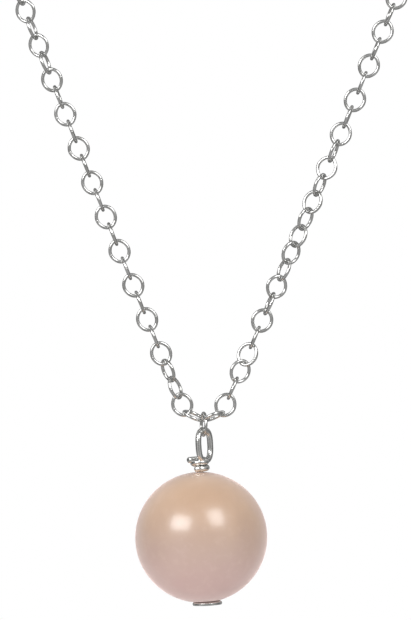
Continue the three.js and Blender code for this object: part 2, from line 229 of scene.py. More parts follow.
# ---------------------------------------------------------------- materials

# A Mix node's colour sockets have names that its other sockets share, so they are taken by number.
MIX_FACTOR, MIX_FIRST, MIX_SECOND, MIX_RESULT = 0, 6, 7, 2


class Nodes:
    """A material's node tree, with short ways to add to it."""

    def __init__(self, name):
        self.material = bpy.data.materials.new(name)
        self.material.use_nodes = True
        self.tree = self.material.node_tree
        self.shader = self.tree.nodes["Principled BSDF"]
        self.place = self.add("ShaderNodeTexCoord").outputs["Object"]

    def add(self, kind, **settings):
        node = self.tree.nodes.new(kind)
        for key, value in settings.items():
            if key in node.inputs:
                node.inputs[key].default_value = value
            else:
                setattr(node, key, value)
        return node

    def link(self, output, target):
        self.tree.links.new(output, target)

    def set(self, **values):
        """Sets values on the shader's own sockets."""
        for key, value in values.items():
            self.shader.inputs[key.replace("_", " ")].default_value = value

    def noise(self, scale, detail=3.0, roughness=0.5, stretch=None, distortion=0.0):
        node = self.add(
            "ShaderNodeTexNoise", Scale=scale, Detail=detail, Roughness=roughness, Distortion=distortion
        )
        if stretch is None:
            self.link(self.place, node.inputs["Vector"])
        else:
            mapping = self.add("ShaderNodeMapping", Scale=stretch)
            self.link(self.place, mapping.inputs["Vector"])
            self.link(mapping.outputs["Vector"], node.inputs["Vector"])
        return node.outputs["Fac"]

    def ramp(self, source, stops, interpolation="EASE"):
        node = self.add("ShaderNodeValToRGB")
        node.color_ramp.interpolation = interpolation
        elements = node.color_ramp.elements
        while len(elements) < len(stops):
            elements.new(0.5)
        for element, (position, colour) in zip(elements, stops):
            element.position = position
            element.color = (*colour, 1.0)
        self.link(source, node.inputs["Fac"])
        return node.outputs["Color"]

    def span(self, source, low, high, to_low, to_high):
        """The source, with low to high spread over to_low to to_high."""
        node = self.add("ShaderNodeMapRange")
        self.link(source, node.inputs["Value"])
        for key, value in (("From Min", low), ("From Max", high), ("To Min", to_low), ("To Max", to_high)):
            node.inputs[key].default_value = value
        return node.outputs["Result"]

    def mix(self, source, colour, factor):
        """The source, taken towards a colour by a factor."""
        node = self.add("ShaderNodeMix", data_type="RGBA", blend_type="MIX")
        self.link(source, node.inputs[MIX_FIRST])
        node.inputs[MIX_SECOND].default_value = (*colour, 1.0)
        self.link(factor, node.inputs[MIX_FACTOR])
        return node.outputs[MIX_RESULT]

    def bump(self, height, strength, distance, under=None):
        node = self.add("ShaderNodeBump", Strength=strength, Distance=distance)
        self.link(height, node.inputs["Height"])
        if under is not None:
            self.link(under, node.inputs["Normal"])
        return node.outputs["Normal"]


def silver_material(name, tint, dull, smooth, rough):
    """Polished silver: faint tarnish in patches, fine scratches and a slight waviness."""
    n = Nodes(name)
    patches = n.noise(900.0, detail=4.0, roughness=0.6)
    n.link(n.ramp(patches, [(0.30, dull), (0.62, tint)]), n.shader.inputs["Base Color"])
    scratches = n.noise(5200.0, detail=5.0, roughness=0.7, stretch=(1.0, 1.0, 0.45))
    n.link(n.span(scratches, 0.3, 0.75, smooth, rough), n.shader.inputs["Roughness"])
    waviness = n.noise(1500.0, detail=2.0, roughness=0.4)
    wavy = n.bump(waviness, 0.35, 0.00002)
    n.link(n.bump(scratches, 0.12, 0.000004, under=wavy), n.shader.inputs["Normal"])
    n.set(Metallic=1.0)
    return n.material


def spring_material():
    """Satin spring steel, brushed along its length."""
    n = Nodes("spring_steel_satin")
    brushing = n.noise(4000.0, detail=4.0, roughness=0.7, stretch=(1.0, 0.05, 1.0))
    tones = n.ramp(brushing, [(0.3, (0.36, 0.37, 0.39)), (0.7, (0.55, 0.56, 0.58))])
    n.link(tones, n.shader.inputs["Base Color"])
    n.link(n.span(brushing, 0.2, 0.8, 0.28, 0.45), n.shader.inputs["Roughness"])
    n.link(n.bump(brushing, 0.4, 0.000006), n.shader.inputs["Normal"])
    n.set(Metallic=1.0)
    return n.material


# The body colour from the pearl's foot to its top: the nacre's tint from mauve to gold, with painted light in
# it, the top painted lighter and the foot painted darker. Also how far soft clouds shift it up and down.
NACRE_TINT_WITH_PAINTED_LIGHT = [
    (0.00, (0.40, 0.265, 0.245)),
    (0.30, (0.40, 0.27, 0.235)),
    (0.55, (0.43, 0.305, 0.235)),
    (0.80, (0.57, 0.37, 0.24)),
    (1.00, (0.74, 0.52, 0.37)),
]
NACRE_DRIFT = 0.22
NACRE_FLECK = (0.74, 0.58, 0.50)
NACRE_ROUGHNESS = (0.30, 0.38)
NACRE_LUSTRE = {
    "IOR": 1.6,
    "Coat_Weight": 1.0,
    "Coat_Roughness": 0.22,
    "Coat_IOR": 1.55,
    "Sheen_Weight": 1.0,
    "Sheen_Roughness": 0.35,
    "Sheen_Tint": (1.0, 0.80, 0.76, 1.0),
}


def nacre_material(low, high):
    """Nacre: a body colour that goes from mauve at the foot to gold at the top, with painted light in it (the
    top painted lighter, the foot painted darker), and with a sheen and a soft coat.

    Low and high are the heights of the foot and the top.
    """
    n = Nodes("pearl_nacre")
    parts = n.add("ShaderNodeSeparateXYZ")
    n.link(n.place, parts.inputs["Vector"])
    height = n.span(parts.outputs["Z"], low, high, 0.0, 1.0)
    clouds = n.noise(260.0, detail=3.0, roughness=0.55, distortion=0.6)
    drift = n.add("ShaderNodeMath", operation="MULTIPLY_ADD")
    n.link(clouds, drift.inputs[0])
    drift.inputs[1].default_value = NACRE_DRIFT
    lower = n.add("ShaderNodeMath", operation="SUBTRACT")
    n.link(height, lower.inputs[0])
    lower.inputs[1].default_value = NACRE_DRIFT / 2
    n.link(lower.outputs[0], drift.inputs[2])
    # This ramp holds painted light: besides the tint from mauve to gold, the top is painted lighter and the
    # foot painted darker.
    body = n.ramp(drift.outputs[0], NACRE_TINT_WITH_PAINTED_LIGHT, interpolation="B_SPLINE")
    growth = n.noise(1400.0, detail=4.0, roughness=0.6)
    flecked = n.mix(body, NACRE_FLECK, n.span(growth, 0.5, 0.85, 0.0, 0.10))
    n.link(flecked, n.shader.inputs["Base Color"])
    n.link(n.span(clouds, 0.2, 0.8, *NACRE_ROUGHNESS), n.shader.inputs["Roughness"])
    pits = n.noise(3200.0, detail=3.0, roughness=0.6)
    ripples = n.bump(clouds, 0.05, 0.0002)
    n.link(n.bump(pits, 0.05, 0.000006, under=ripples), n.shader.inputs["Normal"])
    n.set(**NACRE_LUSTRE)
    return n.material


SILVER_BRIGHT = (0.80, 0.80, 0.79)
SILVER_DULL = (0.62, 0.62, 0.60)
link_silver = silver_material("silver_chain_wire", SILVER_BRIGHT, SILVER_DULL, 0.10, 0.26)
pin_silver = silver_material("silver_pin_wire", (0.88, 0.88, 0.86), (0.70, 0.70, 0.68), 0.14, 0.30)
clasp_silver = silver_material("silver_cast", (0.84, 0.84, 0.82), SILVER_DULL, 0.09, 0.24)

# ---------------------------------------------------------------- the links of the chain

# How far a link strays from a plain oval. Corners and lopsidedness are shares of its size, the others are mm.
CORNERS = 0.024
CORNERS_VARY = 0.010
LOPSIDED = 0.014
LEAN = 0.014
SPRUNG = 0.010
# The seam where the link's wire meets itself: solder that swells it and a fine nick in the middle, each as a
# share of the radius and a reach in radians, and the stations that show them.
SEAM_SWELL, SEAM_SWELL_REACH = 0.05, 0.12
SEAM_NICK, SEAM_NICK_REACH = 0.09, 0.022
SEAM_STATIONS = (-0.09, -0.045, -0.02, 0.02, 0.045, 0.09)
# Stations round a link and points round its wire.
LINK_DETAIL = (40, 12)
RUN_DETAIL = (26, 8)
# Any number but those of the side links, so that it is bent in its own way.
CENTRE_LINK_NUMBER = 77


def link_surface(number, segments, sides, seam=True):
    """One link in its own frame: its length along Z and its opening along Y.

    No two are bent quite alike: each is slightly four-cornered, leans a little and is sprung out of flat.
    """
    vary = [math.sin(12.9898 * number + 78.233 * k) for k in range(5)]
    corners = CORNERS + CORNERS_VARY * vary[0]
    lean = LEAN * vary[1]
    sprung = SPRUNG * vary[2]
    lopsided = LOPSIDED * vary[3]
    around = np.linspace(0, 2 * np.pi, segments, endpoint=False)
    if seam:
        seam_at = np.pi if vary[4] > 0 else 0.0
        close = seam_at + np.array(SEAM_STATIONS)
        around = np.unique(np.concatenate([around, np.mod(close, 2 * np.pi)]).round(6))
    across, along = np.cos(around), np.sin(around)
    # The two ends keep their place, where the next links pull.
    pinch = 1 - corners * (1 - np.cos(4 * around)) / 2 + lopsided * np.sin(around) * across**2
    centre = np.column_stack([
        HALF_WIDTH * across * pinch + lean * along * across * across,
        sprung * np.sin(2 * around),
        HALF_LENGTH * along * (1 - corners * (1 - np.cos(4 * around)) / 2),
    ])
    radii = np.full(len(around), LINK_WIRE / 2 - LINK_POLISH)
    if seam:
        away = np.abs(np.angle(np.exp(1j * (around - seam_at))))
        swell = SEAM_SWELL * np.exp(-((away / SEAM_SWELL_REACH) ** 2))
        nick = SEAM_NICK * np.exp(-((away / SEAM_NICK_REACH) ** 2))
        radii *= 1 + swell - nick
    return tube(centre, radii, sides, closed=True, across=(0, 1, 0))


def placed(surface, rotation, centre):
    """A surface turned and moved from its own frame to its place."""
    vertices, faces = surface
    return vertices @ rotation.T + centre, faces


def facing(along, roll, sense):
    """The axes of a link that lies along a line, turned about it by roll one way or the other.

    Roll 0 shows its opening to the front.
    """
    along = unit(along)
    across = unit(np.array([1.0, 0, 0]) - along[0] * along)
    through = np.cross(along, across)
    c, s = math.cos(sense * roll), math.sin(sense * roll)
    return np.column_stack([across * c + through * s, through * c - across * s, along])


def node_points(name):
    """The points (mm) of a CAD node."""
    mesh = frame["nodes"][name].data
    points = np.empty(len(mesh.vertices) * 3, np.float32)
    mesh.vertices.foreach_get("co", points)
    return points.reshape(-1, 3).astype(float) / MM


def link_place(name):
    """Where a CAD link lies: its axes (across, through, along) and its centre."""
    points = np.unique(node_points(name).round(4), axis=0)
    centre = (points.max(0) + points.min(0)) / 2
    centred = points - points.mean(0)
    _, axes = np.linalg.eigh(centred.T @ centred)
    through, across, along = axes[:, 0], axes[:, 1], axes[:, 2]
    if along[2] < 0:
        along = -along
    # The small share of Y settles which way round an axis is that points straight back.
    if across[0] + 0.01 * across[1] < 0:
        across = -across
    return np.column_stack([across, np.cross(along, across), along]), centre


joint_at = {j["name"]: np.array(j["pos_m"]) / MM for j in frame["joints"]}
joint_axis = {j["name"]: np.array(j["axis"]) for j in frame["joints"]}

SIDES = {"left": -1, "right": 1}

for side_name in SIDES:
    for number in range(1, SINGLE_LINKS + 1):
        node = f"{side_name}_link_{number:02d}"
        rotation, centre = link_place(node)
        surface = link_surface(number * 2 + SIDES[side_name], *LINK_DETAIL)
        shell = Shell().add(*placed(surface, rotation, centre))
        shell.piece(f"{node}_wire", link_silver, node, "silver", node)

rotation, centre = link_place("centre_link")
shell = Shell().add(*placed(link_surface(CENTRE_LINK_NUMBER, *LINK_DETAIL), rotation, centre))
shell.piece("centre_link_wire", link_silver, "centre_link", "silver", "centre_link")

# ---------------------------------------------------------------- the long runs of chain

# How far the first link of a run is turned, and how far each strays from its quarter turns.
RUN_TWIST = {"left": math.radians(110), "right": math.radians(180)}
RUN_SWAY = math.radians(5)


def evenly(points, pitch):
    """Places along a path, every pitch or very nearly, with both ends kept."""
    points = np.asarray(points, float)
    lengths = np.concatenate([[0], np.cumsum(np.linalg.norm(np.diff(points, axis=0), axis=1))])
    count = max(1, round(lengths[-1] / pitch))
    wanted = np.linspace(0, lengths[-1], count + 1)
    return np.column_stack([np.interp(wanted, lengths, points[:, k]) for k in range(3)])


def chain_run(name, joints, first, roll, sense, body, node):
    """Real links from joint to joint, in turn face on and edge on. The first has the number first."""
    shell = Shell()
    for step in range(len(joints) - 1):
        number = first + step
        along = joints[step + 1] - joints[step]
        turn = roll + (math.pi / 2 if number % 2 else 0) + RUN_SWAY * math.sin(2.3 * number)
        rotation = facing(along, turn, sense)
        centre = (joints[step] + joints[step + 1]) / 2
        surface = link_surface(number * 2 + sense, *RUN_DETAIL, seam=False)
        shell.add(*placed(surface, rotation, centre))
    shell.piece(name, link_silver, body, "chain_run", node)


for side_name, sense in SIDES.items():
    # Up the front: the chain goes on from its last single link and bows a little on its way to the shoulder.
    start = joint_at[f"{side_name}_link_{SINGLE_LINKS:02d}_flex"]
    below = joint_at[f"{side_name}_link_{SINGLE_LINKS - 1:02d}_flex"]
    shoulder = joint_at[f"{side_name}_upper_chain_swing"]
    chord = unit(shoulder - start)
    leaving = unit(start - below)
    arriving = unit(2 * chord - leaving)
    reach = np.linalg.norm(shoulder - start)
    curve = []
    for t in np.linspace(0, 1, 400):
        curve.append(
            (2 * t**3 - 3 * t**2 + 1) * start
            + (t**3 - 2 * t**2 + t) * reach * leaving
            + (-2 * t**3 + 3 * t**2) * shoulder
            + (t**3 - t**2) * reach * arriving
        )
    joints = evenly(curve, LINK_PITCH)
    chain_run(
        f"{side_name}_upper_links", joints, SINGLE_LINKS + 1, RUN_TWIST[side_name], sense,
        f"{side_name}_upper_chain", f"{side_name}_upper_chain",
    )
    # Over the shoulder and round the back of the neck to the clasp.
    ring = "clasp_jump_ring" if side_name == "left" else "end_ring"
    ring_low, ring_high = (np.array(corner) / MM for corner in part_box(ring))
    ring_end = np.array([
        ring_low[0] if side_name == "left" else ring_high[0],
        (ring_low[1] + ring_high[1]) / 2,
        (ring_low[2] + ring_high[2]) / 2,
    ])
    path = []
    for angle in np.linspace(0, math.pi / 2, 40):
        rise = SHOULDER_BEND * math.sin(angle)
        path.append(shoulder + np.array([
            rise * arriving[0], SHOULDER_BEND * (1 - math.cos(angle)), rise * arriving[2],
        ]))
    ring_wire = (ring_high[2] - ring_low[2]) / 2
    hooked = ring_end - np.array([sense * (2 * ring_wire + LINK_WIRE / 2), 0, 0])
    last_angle = math.acos(abs(hooked[0]) / NECK_RADIUS)
    for angle in np.linspace(0, last_angle, 300)[1:]:
        path.append(np.array([
            sense * NECK_RADIUS * math.cos(angle), NECK_RADIUS * math.sin(angle), 0.0,
        ]))
    joints = evenly(path, LINK_PITCH)
    # The last link hooks round the wire of its ring.
    joints[-1] = np.array([joints[-1][0], joints[-1][1], hooked[2]])
    chain_run(
        f"{side_name}_neck_links", joints, len(joints), RUN_TWIST[side_name], sense,
        "neck_chain", f"{side_name}_neck_chain",
    )

# ---------------------------------------------------------------- the pearl on its pin

PIN_SIDES = 20
SHANK_STEPS = 200
WRAP_STEPS = 150
# The loop's run round its oval, from the foot of its front limb to the foot of its back one, in degrees.
LOOP_RUN = (236, -72)
# Where the loop's end dives into the wrap, how far the shank reaches into the head, and how far below the top
# of the wrap it turns into the loop.
LOOP_END_ACROSS = 0.16
LOOP_END_SINK = 0.42
SHANK_IN_HEAD = 0.1
SHANK_STOP = 0.5
# The pin's head: a disc, a little domed below, with a rounded rim.
HEAD_FLAT = 0.94
HEAD_DOME = 0.06
HEAD_RIM = 0.12
HEAD_RIM_HEIGHT = 0.17
HEAD_TOP_INSET = 0.16

spin = unit(joint_axis["pearl_spin"])
if spin[2] < 0:
    spin = -spin
pin_across = unit(np.array([1.0, 0, 0]) - spin[0] * spin)
pin_frame = np.column_stack([pin_across, np.cross(spin, pin_across), spin])
pin_origin = joint_at["pearl_spin"]

wire = PIN_WIRE / 2
wrap_radius = PIN_WIRE - WRAP_BITE + WRAP_SWELL
wrap_pitch = PIN_WIRE + WRAP_GAP
wrap_base = PEARL_HEIGHT / 2 + PEARL_SEAT_GAP + wire
wrap_top = wrap_base + WRAP_TURNS * wrap_pitch
loop_height = wrap_top - LOOP_SINK + LOOP_HALF_HEIGHT
head_top = -(PEARL_HEIGHT / 2 - SEAT_DEPTH) - PEARL_SEAT_GAP


def smooth_path(points, count):
    """A Catmull-Rom curve through the points, with count steps of one length."""
    points = np.asarray(points, float)
    padded = np.vstack([2 * points[0] - points[1], points, 2 * points[-1] - points[-2]])
    fine = []
    for i in range(1, len(padded) - 2):
        p0, p1, p2, p3 = padded[i - 1 : i + 3]
        for t in np.linspace(0, 1, 24, endpoint=False):
            fine.append(0.5 * (
                2 * p1
                + (p2 - p0) * t
                + (2 * p0 - 5 * p1 + 4 * p2 - p3) * t**2
                + (3 * p1 - p0 - 3 * p2 + p3) * t**3
            ))
    fine.append(points[-1])
    return evenly(fine, np.sum(np.linalg.norm(np.diff(fine, axis=0), axis=1)) / count)


def shank_and_loop():
    """The wire of the pin from its head up through the pearl and once round the loop."""
    turn = math.radians(LOOP_TURN)
    outward = np.array([math.sin(turn), math.cos(turn), 0.0])
    middle = np.array([LOOP_OFFSET, 0, loop_height])
    path = [
        np.array([0, 0, z]) for z in np.linspace(head_top - SHANK_IN_HEAD, wrap_top - SHANK_STOP, 9)
    ]
    # Up the loop's left limb at the front, over its top and down its right limb at the back.
    for angle in np.radians(np.linspace(*LOOP_RUN, 36)):
        over = math.copysign(abs(math.cos(angle)) ** LOOP_SQUARENESS, math.cos(angle))
        up = math.copysign(abs(math.sin(angle)) ** LOOP_SQUARENESS, math.sin(angle))
        half_height = LOOP_HALF_HEIGHT + (LOOP_FOOT if up < 0 else 0.0)
        path.append(middle + outward * LOOP_HALF_WIDTH * over + np.array([0, 0, half_height * up]))
    path.append(np.array([LOOP_END_ACROSS, 0.0, wrap_top - LOOP_END_SINK]))
    return path


def wrap_path():
    """The rest of the wire, wound upwards round the pin to a cut end that sticks out at the left.

    It lies flat across the front and climbs at the back.
    """
    leaves = math.radians(CUT_END_ANGLE)
    front = math.radians(-90)
    last_arc = (leaves - front) / (2 * math.pi)
    path = []
    for angle in np.linspace(leaves - 2 * math.pi * WRAP_TURNS, leaves, 48):
        passes = (angle - front) / (2 * math.pi) + 1
        if passes > 1:
            share = (passes - 1) / last_arc
            climbed = 1 + WRAP_LAST_RISE * (share - math.sin(2 * math.pi * share) / (2 * math.pi))
        else:
            climbed = passes - math.sin(2 * math.pi * passes) / (2 * math.pi)
        path.append(np.array([
            wrap_radius * math.cos(angle), wrap_radius * math.sin(angle), wrap_base + wrap_pitch * climbed,
        ]))
    end = path[-1]
    for run in np.linspace(0, CUT_END, 5)[1:]:
        path.append(end + run * np.array([-math.sin(leaves), math.cos(leaves), 0]))
    return path


def head_surface():
    """The disc at the foot of the pin."""
    rim = PIN_HEAD_DIAMETER / 2
    profile = [(0, head_top - PIN_HEAD_THICKNESS)]
    for t in np.linspace(0.12, 1, 9):
        profile.append((rim * HEAD_FLAT * t, head_top - PIN_HEAD_THICKNESS + HEAD_DOME * t**3))
    for angle in np.linspace(-60, 70, 8):
        profile.append((
            rim - HEAD_RIM + HEAD_RIM * math.cos(math.radians(angle)),
            head_top - PIN_HEAD_THICKNESS / 2 + HEAD_RIM_HEIGHT * math.sin(math.radians(angle)),
        ))
    profile += [(rim - HEAD_TOP_INSET, head_top), (0.5, head_top), (0, head_top)]
    return lathe(profile, 48)


shell = Shell()
shell.add(*tube(smooth_path(shank_and_loop(), SHANK_STEPS), wire, PIN_SIDES))
shell.add(*tube(smooth_path(wrap_path(), WRAP_STEPS), wire, PIN_SIDES))
shell.add(*head_surface())
shell.piece("headpin_wire", pin_silver, "headpin", "silver", "headpin", place=(pin_frame, pin_origin))

# Rings between the pearl's poles and points round each. Within POLE_ANGLE of a pole they are spaced apart
# in another way.
PEARL_DETAIL = (120, 144)
POLE_ANGLE = 0.30
# The bore's mouth and chamfer, as shares of its radius, the chamfer's depth and where the plain wall begins.
BORE_MOUTH = 1.25
BORE_CHAMFER = 1.06
BORE_CHAMFER_DEPTH = 0.03
BORE_WALL_INSET = 0.12
# How far the nacre's growth takes the pearl out of round.
OUT_OF_ROUND = 0.012


def pearl_surface(rows, columns):
    """The pearl about a point on its bore, with the bore through it and a flat seat ground at its foot."""
    radius, half_height = PEARL_DIAMETER / 2, PEARL_HEIGHT / 2
    opening = math.asin(BORE_RADIUS * BORE_MOUTH / half_height)
    steps = np.concatenate([
        np.linspace(opening, POLE_ANGLE, 8, endpoint=False),
        np.linspace(POLE_ANGLE, math.pi - POLE_ANGLE, rows, endpoint=False),
        np.linspace(math.pi - POLE_ANGLE, math.pi - opening, 26),
    ])
    around = 2 * np.pi * np.arange(columns) / columns
    seat = -(half_height - SEAT_DEPTH)
    rings = []
    for polar in steps:
        ring = []
        for angle in around:
            ray = np.array([
                math.sin(polar) * math.cos(angle), math.sin(polar) * math.sin(angle), math.cos(polar),
            ])
            scaled = ray / np.array([radius, radius, half_height])
            offset = np.array([BORE_OFFSET / radius, 0, 0])
            a, b, c = scaled @ scaled, scaled @ offset, offset @ offset - 1
            length = (-b + math.sqrt(b * b - a * c)) / a
            waves = math.sin(1.7 * ray[0] + 2.1 * ray[1] + 0.6), math.sin(2.3 * ray[2] + 1.1 * ray[0])
            swell = OUT_OF_ROUND * waves[0] * waves[1]
            point = ray * (length + swell * math.sin(polar) ** 2)
            if point[2] < seat:
                point = point * (seat / point[2])
            ring.append(point)
        rings.append(np.array(ring))
    top, bottom = rings[0], rings[-1]

    def bore_ring(reach, height):
        return np.column_stack([reach * np.cos(around), reach * np.sin(around), np.full(columns, height)])

    chamfer_top = bore_ring(BORE_RADIUS * BORE_CHAMFER, top[:, 2] - BORE_CHAMFER_DEPTH)
    chamfer_bottom = bore_ring(BORE_RADIUS * BORE_CHAMFER, bottom[:, 2] + BORE_CHAMFER_DEPTH)
    lowest = bottom[:, 2].mean() + BORE_WALL_INSET
    highest = top[:, 2].mean() - BORE_WALL_INSET
    walls = [bore_ring(BORE_RADIUS, z) for z in np.linspace(lowest, highest, 6)]
    rings = rings + [chamfer_bottom] + walls + [chamfer_top]
    return np.concatenate(rings), [face[::-1] for face in grid_faces(len(rings), columns, closed_rows=True)]


pearl_low, pearl_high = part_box("pearl")
nacre = nacre_material(pearl_low.z, pearl_high.z)
shell = Shell().add(*pearl_surface(*PEARL_DETAIL))
shell.piece("pearl_nacre", nacre, "pearl", "pearl", "pearl", place=(pin_frame, pin_origin))

# ---------------------------------------------------------------- the clasp

CLAW_LENGTH = 7.4
CLAW_WIDTH = 5.0
CLAW_THICKNESS = 1.6
CLAW_BAR = 0.95
MOUTH_INSET = 1.8
EYE_RADIUS = 1.05
EYE_HOLE = 0.6
EYE_THICKNESS = 0.9
EYE_REACH = 0.65
PIVOT_INSET = 1.2
PIVOT_HEIGHT = -1.1
PIVOT_BOSS = 0.85
LEVER_ROOT = 0.62
LEVER_THICKNESS = 0.8
LEVER_CLEARANCE = 0.12
THUMB_TAB = (0.8, 0.9)
RIVET_RADIUS = 0.32
LEAF_SPRING_RADIUS = 0.81
LEAF_SPRING_GAUGE = 0.12
LEAF_SPRING_WIDTH = 0.6
LEAF_SPRING_ARC = (100, 230)
JUMP_RING_WIRE = 0.45
END_RING_WIRE = 0.5

# Stations along the claw's bar, its cheeks and the lever, and the squareness of their sections.
BAR_STATIONS = 90
BAR_SQUARENESS = 0.72
CHEEK_STATIONS = 22
CHEEK_SQUARENESS = 0.8
LEVER_STATIONS = 44
LEVER_SQUARENESS = 0.75
# The bar tapers to its nose over this share of its length, down to this share of its width.
NOSE_TAPER = 0.12
NOSE_WIDTH = 0.80
# How far past its left end the bar stops, how far back from there the cheeks begin, and how much they swell.
FORK_DROP = 0.16
CHEEK_OVERLAP = 0.30
CHEEK_SWELL = 0.16
# The lever runs from just right of its rivet and rises by this much there.
LEVER_START = 0.15
LEVER_RISE = 0.10
# The grip on the thumb tab: the height of its ridges, and how many there would be on the whole tab.
TAB_RIDGE = 0.03
TAB_RIDGES = 4
RIVET_DOME = 0.05

clasp_origin = joint_at["clasp_turn"]
in_clasp = (np.eye(3), clasp_origin)
pivot = np.array([PIVOT_INSET - CLAW_LENGTH / 2, 0.0, PIVOT_HEIGHT])
mouth_right = CLAW_LENGTH / 2 - MOUTH_INSET
eye_centre = np.array([-CLAW_LENGTH / 2 - EYE_REACH, 0.0, 0.0])
bar_half_length = (CLAW_LENGTH - CLAW_BAR) / 2
bar_half_width = (CLAW_WIDTH - CLAW_BAR) / 2


def claw_line(first, last, count, shift=0.0):
    """Points on the middle of the claw's bar, from one angle to another, moved along Y by shift."""
    return [
        np.array([bar_half_length * math.cos(a), shift, bar_half_width * math.sin(a)])
        for a in np.linspace(first, last, count)
    ]


def lower_angle(x):
    """The angle at which the lower side of the bar's middle passes x."""
    return -math.acos(x / bar_half_length)


# The bar runs from its nose, over the top, to the fork that holds the lever.
nose = lower_angle(mouth_right + CLAW_BAR * 0.3)
fork = math.pi + math.asin(FORK_DROP)
bar = claw_line(nose, fork, BAR_STATIONS)
share = np.linspace(0, 1, BAR_STATIONS)
bar_radius = CLAW_BAR / 2 * (NOSE_WIDTH + (1 - NOSE_WIDTH) * np.minimum(1, share / NOSE_TAPER) ** 0.5)
shell = Shell()
shell.add(*tube(
    bar, bar_radius, 28, across=(0, 1, 0),
    flatten=CLAW_THICKNESS / CLAW_BAR * 0.99, squareness=BAR_SQUARENESS,
))
slot_half = LEVER_THICKNESS / 2 + LEVER_CLEARANCE
cheek_half = (CLAW_THICKNESS / 2 - slot_half) / 2
for y_side in (-1, 1):
    middle = y_side * (slot_half + cheek_half)
    cheek = claw_line(fork - CHEEK_OVERLAP, 2 * math.pi + lower_angle(pivot[0]), CHEEK_STATIONS, middle)
    for point in cheek:
        inward = CHEEK_SWELL * (point[2] < 0) * min(1.0, point[2] / PIVOT_HEIGHT)
        point += np.array([inward, 0, inward * 0.55])
    widths = np.linspace(CLAW_BAR / 2 * 0.93, PIVOT_BOSS * 0.80, CHEEK_STATIONS)
    shell.add(*tube(
        cheek, widths, 24, across=(0, 1, 0), flatten=cheek_half / widths, squareness=CHEEK_SQUARENESS,
    ))
eye_wire = (EYE_RADIUS - EYE_HOLE) / 2
eye = [
    eye_centre + (EYE_HOLE + eye_wire) * np.array([math.cos(a), 0, math.sin(a)])
    for a in np.linspace(0, 2 * math.pi, 48, endpoint=False)
]
shell.add(*tube(
    eye, eye_wire, 20, closed=True, across=(0, 1, 0), flatten=EYE_THICKNESS / 2 / eye_wire, squareness=0.85,
))
shell.piece("clasp_claw", clasp_silver, "clasp", "silver", "clasp_body", place=in_clasp)

# The lever closes the mouth and has a tab for the thumb below its rivet.
lever_tip = lower_angle(mouth_right - LEVER_CLEARANCE)
lever_root = lower_angle(pivot[0] + LEVER_START)
lever_share = np.linspace(0, 1, LEVER_STATIONS)
lever_line = claw_line(lever_root, lever_tip, LEVER_STATIONS)
for point, along in zip(lever_line, lever_share):
    point += (1 - along) ** 2 * np.array([0, 0, LEVER_RISE])
lever_width = CLAW_BAR / 2 * (0.98 - 0.16 * lever_share)
shell = Shell()
shell.add(*tube(
    lever_line, lever_width, 24, across=(0, 1, 0),
    flatten=LEVER_THICKNESS / 2 / lever_width, squareness=LEVER_SQUARENESS,
))
root = []
for y in np.linspace(-1, 1, 9):
    root.append((LEVER_ROOT * (1 - 0.10 * abs(y) ** 6), y * LEVER_THICKNESS / 2))
root_vertices, root_faces = lathe([(0, -LEVER_THICKNESS / 2)] + root + [(0, LEVER_THICKNESS / 2)], 36)
about_y = np.array([[1, 0, 0], [0, 0, 1], [0, -1, 0]], float)
shell.add(root_vertices @ about_y.T + pivot, root_faces)
tab_width, tab_drop = THUMB_TAB
tab_reach = LEVER_ROOT + tab_drop
tab_line, tab_width_at = [], []
for t in np.linspace(0, 1, 30):
    tab_line.append(pivot + np.array([-0.05 * math.sin(math.pi * t), 0, -tab_reach * t * 0.97]))
    ridge = TAB_RIDGE * math.sin(2 * math.pi * TAB_RIDGES * (t - 0.5)) if 0.5 < t < 0.95 else 0.0
    tab_width_at.append(tab_width / 2 * (0.92 - 0.12 * t * t) + ridge)
tab_width_at = np.array(tab_width_at)
shell.add(*tube(
    tab_line, tab_width_at, 24, across=(0, 1, 0),
    flatten=LEVER_THICKNESS / 2 / tab_width_at * 0.96, squareness=0.7,
))
shell.piece("clasp_lever_cast", clasp_silver, "clasp_lever", "silver", "clasp_lever", place=in_clasp)

rivet_profile = [(0, -CLAW_THICKNESS / 2)]
for t in np.linspace(0.1, 1, 6):
    rivet_profile.append((RIVET_RADIUS * t, -CLAW_THICKNESS / 2 + RIVET_DOME * t**3))
for t in np.linspace(1, 0.1, 6):
    rivet_profile.append((RIVET_RADIUS * t, CLAW_THICKNESS / 2 - RIVET_DOME * t**3))
rivet_profile.append((0, CLAW_THICKNESS / 2))
rivet_vertices, rivet_faces = lathe(rivet_profile, 32)
shell = Shell().add(rivet_vertices @ about_y.T + pivot, rivet_faces)
shell.piece("clasp_rivet_pin", pin_silver, "clasp", "silver", "clasp_rivet", place=in_clasp)

leaf = [
    pivot + LEAF_SPRING_RADIUS * np.array([math.cos(math.radians(a)), 0, math.sin(math.radians(a))])
    for a in np.linspace(LEAF_SPRING_ARC[0] + 2, LEAF_SPRING_ARC[1] - 2, 40)
]
shell = Shell().add(*tube(
    leaf, LEAF_SPRING_GAUGE / 2, 20, across=(0, 1, 0),
    flatten=LEAF_SPRING_WIDTH / LEAF_SPRING_GAUGE, squareness=0.5,
))
shell.piece("clasp_leaf_spring", spring_material(), "clasp", "spring_steel", "clasp_spring", place=in_clasp)

# Stations round a ring, and the solder of a closed one: a swelling of its wire and its reach in radians.
RING_STATIONS = 72
SOLDER_SWELL, SOLDER_REACH = 0.05, 0.16


